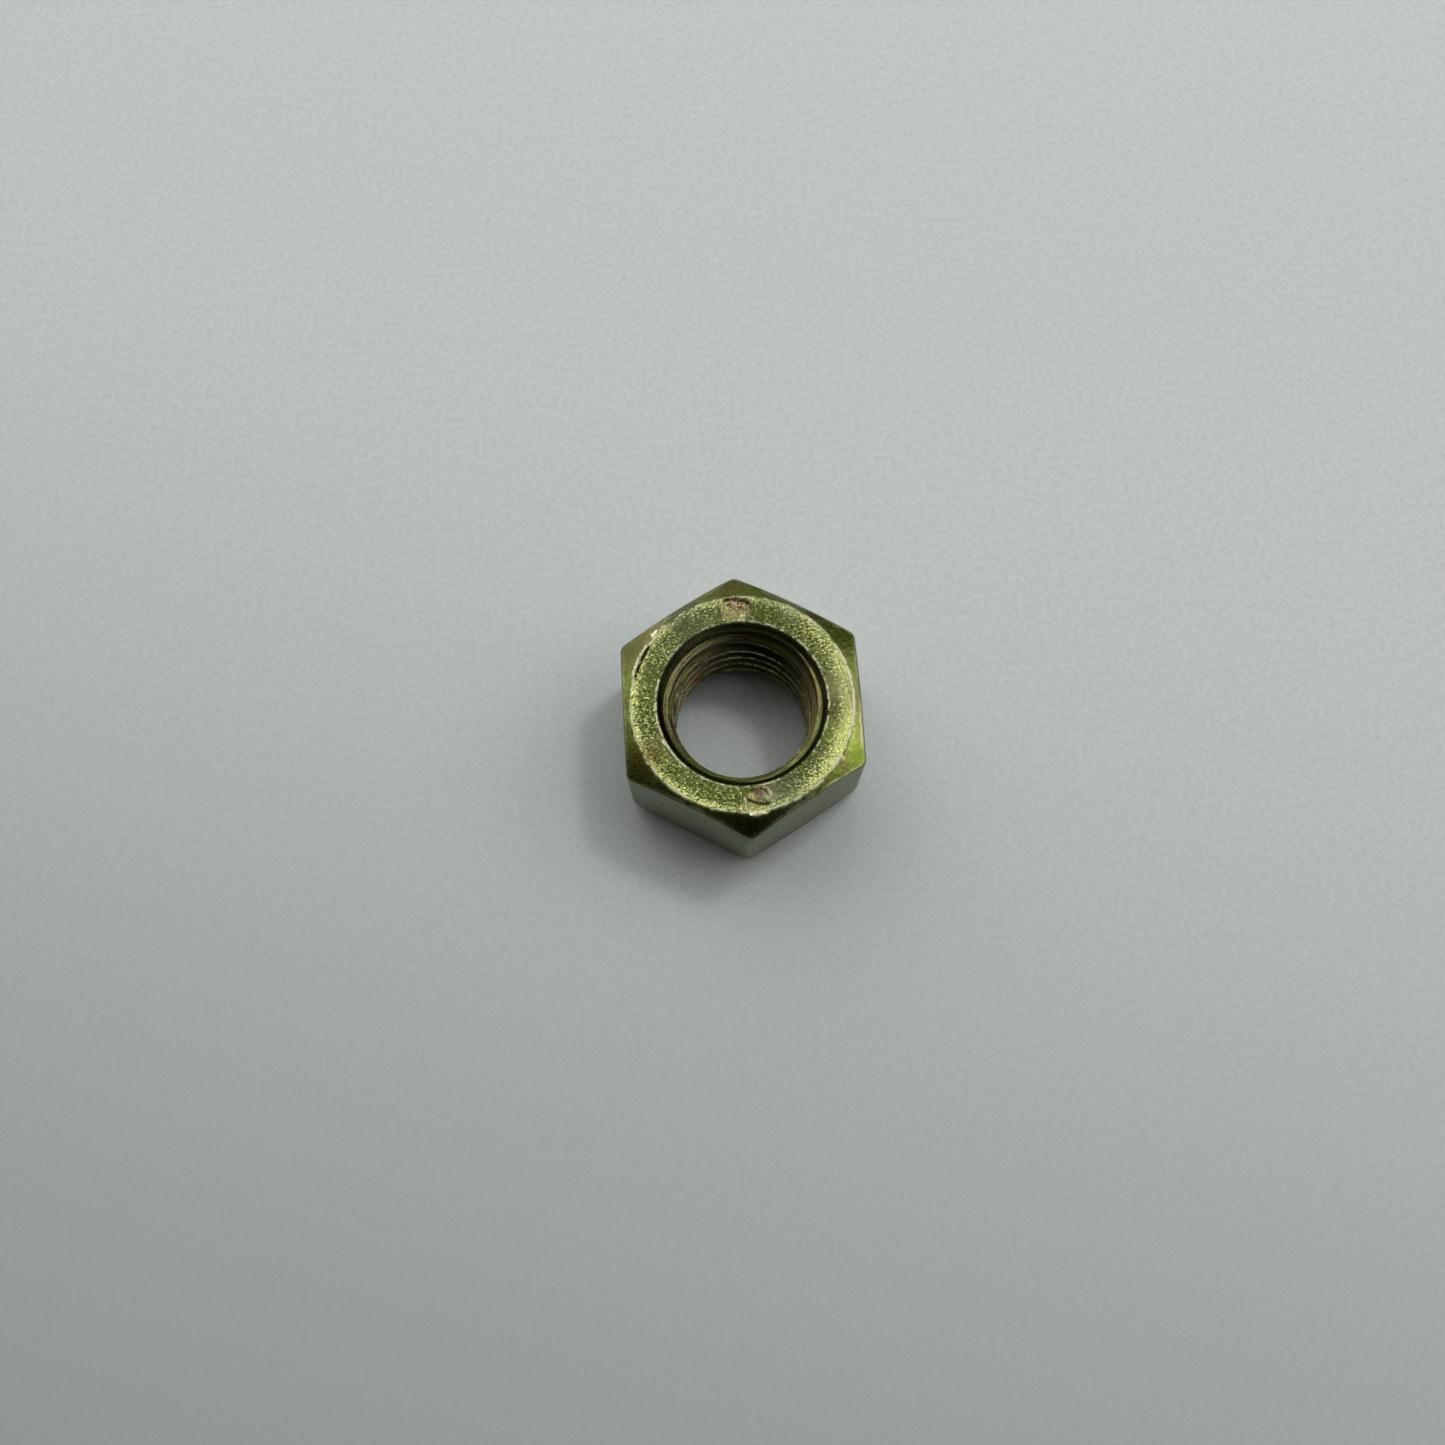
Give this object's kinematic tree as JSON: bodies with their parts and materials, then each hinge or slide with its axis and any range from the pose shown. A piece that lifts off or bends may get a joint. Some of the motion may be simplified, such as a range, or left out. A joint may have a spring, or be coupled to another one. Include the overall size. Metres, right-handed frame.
{
  "type": "hex nut",
  "caption": "Hexagonal steel nut with a right-hand metric thread, chamfered corners, countersunk ends and a yellow-green zinc finish.",
  "frame": {"origin": "centre of the lower bearing face, on the thread axis", "axes": "+Z is the thread axis, up out of the marked upper face; +X is square to a wrench flat; +Y points through a corner of the hexagon"},
  "size_m": [0.024, 0.0274, 0.013],
  "materials": {
    "zinc_yellow_steel": "steel with zinc plating and yellow chromate passivation, satin, olive green with brassy worn edges"
  },
  "bodies": {
    "root": {"hex_nut": "zinc_yellow_steel"}
  },
  "joints": []
}
